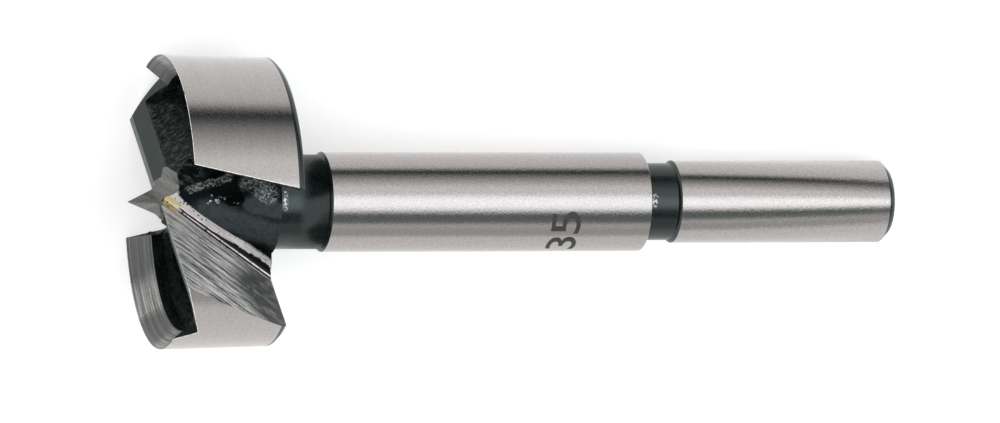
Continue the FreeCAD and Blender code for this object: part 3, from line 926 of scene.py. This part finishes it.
def turned_oxide():
    """Black oxide over turned steel: the neck, the groove, the shoulders and the head's rear."""
    material, bench, shader = new_material("turned_oxide")
    lines = bench.group(round_grinding, Coarse=1.4, Fine=6.0, Length=0.5)
    grain = bench.group(speckle, Grain=3.0)["Fine"]
    shade = bench.share(lines["Shade"], grain, 0.6)
    flaking = bench.math("MAXIMUM", near_line_mask_of(bench, GROOVE_FLAKES), near_line_mask_of(bench, REAR_FLAKES))
    bare = bench.times(flaking, bench.step(grain, 0.5, 0.54))
    black = bench.mix(bench.step(shade, 0.42, 0.7), TURNED_BLACK, OXIDE_GREY)
    bench.put(shader["Base Color"], bench.mix(bare, black, STEEL_LIGHT))
    bench.put(shader["Metallic"], bare)
    bench.put(shader["Roughness"], bench.follow(grain, 0.18, 0.3))
    bench.put(shader["Normal"], bump(bench, shade, 0.015))
    shader["Specular IOR Level"].default_value = 0.9
    shader["Specular Tint"].default_value = OXIDE_TINT
    return material


def forged_oxide():
    """The rough black skin that the forging leaves in the chip pockets and the hollow, with painted sheen
    and glints on its ridge, core and beads.
    """
    material, bench, shader = new_material("forged_oxide")
    skin = bench.group(forging)
    ridge = near_line_mask_of(bench, RIDGE)
    core = near_line_mask_of(bench, CORE)
    smooth = bench.math("MAXIMUM", near_line_mask_of(bench, SMOOTH_SIDE), near_line_mask_of(bench, SMOOTH_REAR))
    plain = bench.math("MULTIPLY_ADD", smooth, -0.85, 1.0)

    black = bench.mix(bench.step(skin["Shade"], 0.4, 0.7), OXIDE, OXIDE_GREY)
    creased = bench.times(near_line_mask_of(bench, LIP_BACK), skin["Leather"], plain)
    black = bench.mix(creased, black, LEATHER)
    mottled = bench.mix(bench.step(skin["Shade"], 0.4, 0.6), SMOOTH_DARK, SMOOTH_LIGHT)
    black = bench.mix(smooth, black, mottled)
    # painted sheen: a grey haze over the ridge and the core
    sheen = bench.times(bench.math("MAXIMUM", bench.times(ridge, 0.35), core), 0.8)
    black = bench.mix(bench.times(sheen, bench.step(skin["Shade"], 0.38, 0.6)), black, SHEEN_GREY)

    # painted glints: bright bare metal on the pit's beads and in worms over the ridge and the core
    glint_dots = bench.group(spots, Spacing=0.6, Size=0.26)["Mask"]
    worms = bench.times(bench.math("MAXIMUM", ridge, core), skin["Worms"])
    glints = bench.math("MAXIMUM", worms, bench.times(near_line_mask_of(bench, BEAD_GLINTS), glint_dots))
    bench.put(shader["Base Color"], bench.mix(glints, black, GLINT_METAL))
    bench.put(shader["Metallic"], glints)
    bench.put(shader["Roughness"], bench.follow(skin["Shade"], 0.22, 0.42))
    bench.put(shader["Normal"], bump(bench, bench.times(skin["Height"], plain), 0.2))
    shader["Specular IOR Level"].default_value = 0.15
    shader["Specular Tint"].default_value = OXIDE_TINT
    return material


def mark_ink():
    """The dark etched size mark."""
    material, bench, shader = new_material("mark_ink")
    grain = bench.group(speckle, Grain=5.0)["Fine"]
    bench.put(shader["Base Color"], bench.mix(bench.step(grain, 0.35, 0.65), INK_DARK, INK_LIGHT))
    bench.put(shader["Roughness"], bench.follow(grain, 0.5, 0.65))
    return material


def dress(piece):
    """Gives each finish its material, in the order of the finish numbers."""
    finishes = {
        "wall": round_steel(
            "wall_steel", lined=0.3, coarse=1.4, fine=5.0, length=1.0, depth=0.018,
            roughness=(0.1, 0.18), contrast=0.12,
        ),
        "bevel": round_steel(
            "bevel_steel", lined=0.85, coarse=2.6, fine=8.0, length=0.2, depth=0.03,
            roughness=(0.3, 0.42), contrast=0.1, dark=BEVEL_DARK, light=BEVEL_LIGHT, shade_lines=BEVEL_PAINTED_SHADE,
        ),
        "inner_wall": forged_oxide(),
        "rake": rake_steel(),
        "strip": strip_steel(),
        "flank": satin_oxide(),
        "point": point_steel(),
        "turned_black": turned_oxide(),
        "collar": round_steel(
            "collar_steel", lined=0.25, coarse=1.4, fine=6.0, length=3.0, depth=0.022,
            roughness=(0.07, 0.14), contrast=0.14,
        ),
        # the broken edges beside the outside of the head carry a near-white painted highlight
        "edge": edge_steel("edge_highlight", STEEL_LIGHT, EDGE_HIGHLIGHT, 0.2),
        "dull_edge": edge_steel("dull_edge", STEEL_DARK, STEEL_LIGHT, 1.0),
    }
    finishes["gash"] = finishes["strip"]
    finishes["forged"] = finishes["inner_wall"]
    for name in FINISHES:
        piece.data.materials.append(finishes[name])


# the size mark: its place, its figures' height and spacing, and how it wraps round the collar
MARK_MIDDLE = 53.0
MARK_HEIGHT = 3.62
FIGURE_SHARE = 0.7
MARK_BOLDER = 0.02
MARK_SPACING = 0.9
MARK_WIDEN = 1.45
MARK_LEAN = -0.02
MARK_TURN = math.radians(-41.7)
MARK_THICKNESS = 0.02
MARK_REACH = 4.0
MARK_STRIP = 0.25


def flat_size_mark():
    """The figures as a flat mesh."""
    text = bpy.data.curves.new("size_mark", "FONT")
    text.body = "35"
    text.size = MARK_HEIGHT / FIGURE_SHARE
    text.align_x = "CENTER"
    text.align_y = "CENTER"
    text.resolution_u = 6
    text.offset = MARK_BOLDER
    text.space_character = MARK_SPACING
    flat = bpy.data.objects.new("flat_mark", text)
    bpy.context.scene.collection.objects.link(flat)
    bpy.context.view_layer.update()
    mesh = bpy.data.meshes.new_from_object(flat)
    bpy.data.objects.remove(flat)
    return mesh


def make_size_mark():
    """The bore size, 35, etched round the collar with the tops of its figures towards the head."""
    mesh = flat_size_mark()
    bm = bmesh.new()
    bm.from_mesh(mesh)
    cut = -MARK_REACH
    while cut < MARK_REACH:
        bmesh.ops.bisect_plane(bm, geom=whole(bm), plane_co=(cut, 0, 0), plane_no=(1, 0, 0), dist=1e-4)
        cut += MARK_STRIP
    made = bmesh.ops.extrude_face_region(bm, geom=list(bm.faces))
    for part in made["geom"]:
        if isinstance(part, bmesh.types.BMVert):
            part.co.z = MARK_THICKNESS
    bmesh.ops.recalc_face_normals(bm, faces=bm.faces)
    for vert in bm.verts:
        radius = COLLAR_RADIUS - MARK_THICKNESS / 2 + vert.co.z
        turn = MARK_TURN + vert.co.x * MARK_WIDEN / COLLAR_RADIUS
        direction = to_viewer * math.cos(turn) + picture_up * math.sin(turn)
        lengthwise = MARK_MIDDLE - vert.co.y + vert.co.x * MARK_LEAN
        vert.co = tip + (along * lengthwise + direction * radius) * MM
    bm.to_mesh(mesh)
    bm.free()
    piece = bpy.data.objects.new("size_mark", mesh)
    bpy.context.scene.collection.objects.link(piece)
    mesh.materials.clear()
    mesh.materials.append(mark_ink())
    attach(piece, "root")


FLOOR_SIZE = 2.0
FLOOR_GREY = (0.86, 0.86, 0.86, 1)
FLOOR_GLOW = 0.32
WHITE = (1, 1, 1, 1)


def make_floor():
    """A pale floor that is white to the camera, keeps the bit's shadow and isn't mirrored in the steel."""
    bm = bmesh.new()
    bmesh.ops.create_grid(bm, x_segments=8, y_segments=8, size=FLOOR_SIZE)
    mesh = bpy.data.meshes.new("floor")
    bm.to_mesh(mesh)
    bm.free()
    floor = bpy.data.objects.new("floor", mesh)
    bpy.context.scene.collection.objects.link(floor)
    material, bench, shader = new_material("pale_floor")
    rays = bench.add("ShaderNodeLightPath").outputs
    shader["Base Color"].default_value = FLOOR_GREY
    shader["Roughness"].default_value = 0.9
    shader["Specular IOR Level"].default_value = 0.0
    shader["Emission Color"].default_value = WHITE
    bench.put(shader["Emission Strength"], bench.times(rays["Is Camera Ray"], FLOOR_GLOW))
    mesh.materials.append(material)
    floor.visible_glossy = False


# the studio round the bit: brightness at each angle in degrees, from the viewer's side up over the bit
STUDIO = [
    # the table and what stands under it
    (-180, 0.95), (-90, 0.75), (-85, 0.45), (-65, 0.45), (-58, 0.6),
    # the dark gap below the camera
    (-48, 0.18), (-29, 0.16),
    # the bright card at the camera
    (-18, 1.2), (-10, 1.6), (5, 1.6), (13, 1.25),
    # the dimmer card over it, which fades upwards
    (17, 0.85), (31, 0.9), (45, 0.56), (58, 0.3), (65, 0.16),
    # the dark gap overhead
    (70, 0.03), (76, 0.02),
    # the wall behind
    (85, 0.65), (100, 0.75), (180, 1.1),
]
# what the faces that look towards the point's end reflect
FRONT_LEVEL = 0.8
FRONT_START = -0.02
FRONT_FULL = -0.25
# how the light is tinted where it is dim and where it is bright
TEAL = (0.7, 1.03, 1.0)
COOL = (0.955, 0.99, 1.03)
TEAL_BELOW = 0.3
COOL_OVER = 0.4


def studio_colour(level):
    """White light, teal where it is dim and cool where it is bright."""
    dimness = max(0.0, 1 - level / TEAL_BELOW)
    brightness = min(max((level - 1) / COOL_OVER, 0.0), 1.0)
    return tuple(
        level * (1 + dimness * (dim - 1)) * (1 + brightness * (bright - 1))
        for dim, bright in zip(TEAL, COOL)
    )


def light_studio():
    """Soft bands of light that run along the bit, as white cards and dark gaps round a product table."""
    world = bpy.data.worlds.new("studio")
    bpy.context.scene.world = world
    world.use_nodes = True
    bench = NodeBench(world.node_tree)
    bench.tree.nodes.clear()
    direction = bench.add("ShaderNodeTexCoord").outputs["Generated"]
    forward = bench.dot(direction, tuple(to_viewer))
    upward = bench.dot(direction, tuple(picture_up))
    lengthwise = bench.dot(direction, tuple(along))
    turn = bench.math("MULTIPLY_ADD", bench.math("ARCTAN2", upward, forward), 0.5 / math.pi, 0.5)
    bands = bench.ramp(turn, [((angle + 180) / 360, studio_colour(level)) for angle, level in STUDIO])
    light = bench.mix(bench.step(lengthwise, FRONT_START, FRONT_FULL), bands, FRONT_LEVEL)
    rays = bench.add("ShaderNodeLightPath").outputs
    seen = bench.mix(rays["Is Camera Ray"], light, 1.0)
    background = bench.add("ShaderNodeBackground", {"Color": seen, "Strength": 1.0})
    output = bench.add("ShaderNodeOutputWorld")
    bench.put(output.inputs["Surface"], background.outputs[0])


LAMP_HEIGHT = 1.0
LAMP_SIZE = 1.2
LAMP_POWER = 4.5


def hang_lamp():
    """One large soft lamp above the table, on the viewer's side, that the steel doesn't mirror."""
    data = bpy.data.lights.new("soft_lamp", "AREA")
    data.shape = "DISK"
    data.size = LAMP_SIZE
    data.energy = LAMP_POWER
    lamp = bpy.data.objects.new("soft_lamp", data)
    bpy.context.scene.collection.objects.link(lamp)
    lamp.location = (to_viewer + Vector((0, 0, 1))).normalized() * LAMP_HEIGHT
    lamp.rotation_mode = "QUATERNION"
    lamp.rotation_quaternion = lamp.location.to_track_quat("Z", "Y")
    lamp.visible_glossy = False


# the camera: distances in millimetres, the lens on a sensor of this width
CAMERA_TURN = math.radians(16.8)
CAMERA_ROLL = math.radians(0.0716)
CAMERA_DISTANCE = 820.15
CAMERA_AIM = 46.084
CAMERA_DROP = 1.192
LENS = 245.448
SENSOR_WIDTH = 36


def place_camera():
    """The camera of the photograph: long lens, looking at the bit from the point's side."""
    data = bpy.data.cameras.new("camera")
    data.lens = LENS
    data.sensor_width = SENSOR_WIDTH
    data.clip_start = 0.05
    data.clip_end = 10
    camera = bpy.data.objects.new("camera", data)
    bpy.context.scene.collection.objects.link(camera)
    view = along * math.sin(CAMERA_TURN) - to_viewer * math.cos(CAMERA_TURN)
    right = along * math.cos(CAMERA_TURN) + to_viewer * math.sin(CAMERA_TURN)
    level = picture_up * math.cos(CAMERA_ROLL) + right * math.sin(CAMERA_ROLL)
    right = right * math.cos(CAMERA_ROLL) - picture_up * math.sin(CAMERA_ROLL)
    stand = tip + (along * CAMERA_AIM - view * CAMERA_DISTANCE - picture_up * CAMERA_DROP) * MM
    turn = Matrix((right, level, -view)).transposed().to_4x4()
    camera.matrix_world = Matrix.Translation(stand) @ turn
    bpy.context.scene.camera = camera


scene = bpy.context.scene
scene.view_settings.view_transform = "Standard"
dress(make_bit())
make_size_mark()
make_floor()
light_studio()
hang_lamp()
place_camera()
